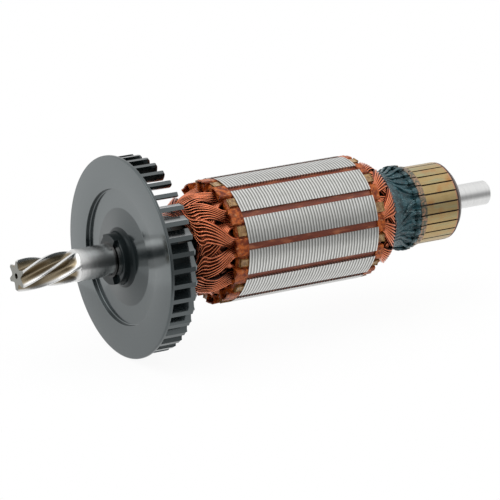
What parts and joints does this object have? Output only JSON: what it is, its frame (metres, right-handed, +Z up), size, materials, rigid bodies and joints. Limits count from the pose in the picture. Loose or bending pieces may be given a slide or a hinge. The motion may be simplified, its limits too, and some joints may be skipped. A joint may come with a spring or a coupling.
{
  "type": "motor armature",
  "caption": "Wound rotor of a small universal motor: helical pinion shaft, moulded cooling fan, slotted lamination stack with copper coils, and a commutator.",
  "frame": {"origin": "on the shaft's axis in the middle of the drive-end bearing seat, between the pinion and the fan", "axes": "+X along the shaft, from the pinion towards the commutator; +Z up as the armature lies across two bearings"},
  "size_m": [0.1535, 0.0564, 0.0564],
  "materials": {
    "ground_steel": "ground and bright, with brown oil film in the flutes",
    "sleeve_resin": "moulded, satin",
    "fan_nylon": "dark grey glass-filled nylon, satin",
    "core_steel": "stacked sheet edges, turned",
    "fibre": "varnished fibre",
    "varnished_paper": "orange varnish",
    "wedge_strip": "red-brown varnished strip",
    "enamelled_copper": "enamelled copper wire under varnish",
    "bar_copper": "turned copper, brown-gold",
    "phenolic": "dark brown moulding",
    "lead_resin": "blue-green dipping resin, satin"
  },
  "bodies": {
    "root": {"shaft": "ground_steel", "shaft_sleeve": "sleeve_resin", "cooling_fan": "fan_nylon", "lamination_stack": "core_steel", "drive_end_insulator": "fibre", "commutator_end_insulator": "fibre", "slot_liners": "varnished_paper", "commutator_moulding": "phenolic", "bound_leads": "lead_resin", "slot_wedge_01": "wedge_strip", "slot_wedge_02": "wedge_strip", "slot_wedge_03": "wedge_strip", "slot_wedge_04": "wedge_strip", "slot_wedge_05": "wedge_strip", "slot_wedge_06": "wedge_strip", "slot_wedge_07": "wedge_strip", "slot_wedge_08": "wedge_strip", "slot_wedge_09": "wedge_strip", "slot_wedge_10": "wedge_strip", "slot_wedge_11": "wedge_strip", "slot_wedge_12": "wedge_strip", "coil_01": "enamelled_copper", "coil_02": "enamelled_copper", "coil_03": "enamelled_copper", "coil_04": "enamelled_copper", "coil_05": "enamelled_copper", "coil_06": "enamelled_copper", "coil_07": "enamelled_copper", "coil_08": "enamelled_copper", "coil_09": "enamelled_copper", "coil_10": "enamelled_copper", "coil_11": "enamelled_copper", "coil_12": "enamelled_copper", "commutator_bar_01": "bar_copper", "commutator_bar_02": "bar_copper", "commutator_bar_03": "bar_copper", "commutator_bar_04": "bar_copper", "commutator_bar_05": "bar_copper", "commutator_bar_06": "bar_copper", "commutator_bar_07": "bar_copper", "commutator_bar_08": "bar_copper", "commutator_bar_09": "bar_copper", "commutator_bar_10": "bar_copper", "commutator_bar_11": "bar_copper", "commutator_bar_12": "bar_copper", "commutator_bar_13": "bar_copper", "commutator_bar_14": "bar_copper", "commutator_bar_15": "bar_copper", "commutator_bar_16": "bar_copper", "commutator_bar_17": "bar_copper", "commutator_bar_18": "bar_copper", "commutator_bar_19": "bar_copper", "commutator_bar_20": "bar_copper", "commutator_bar_21": "bar_copper", "commutator_bar_22": "bar_copper", "commutator_bar_23": "bar_copper", "commutator_bar_24": "bar_copper"}
  },
  "joints": []
}
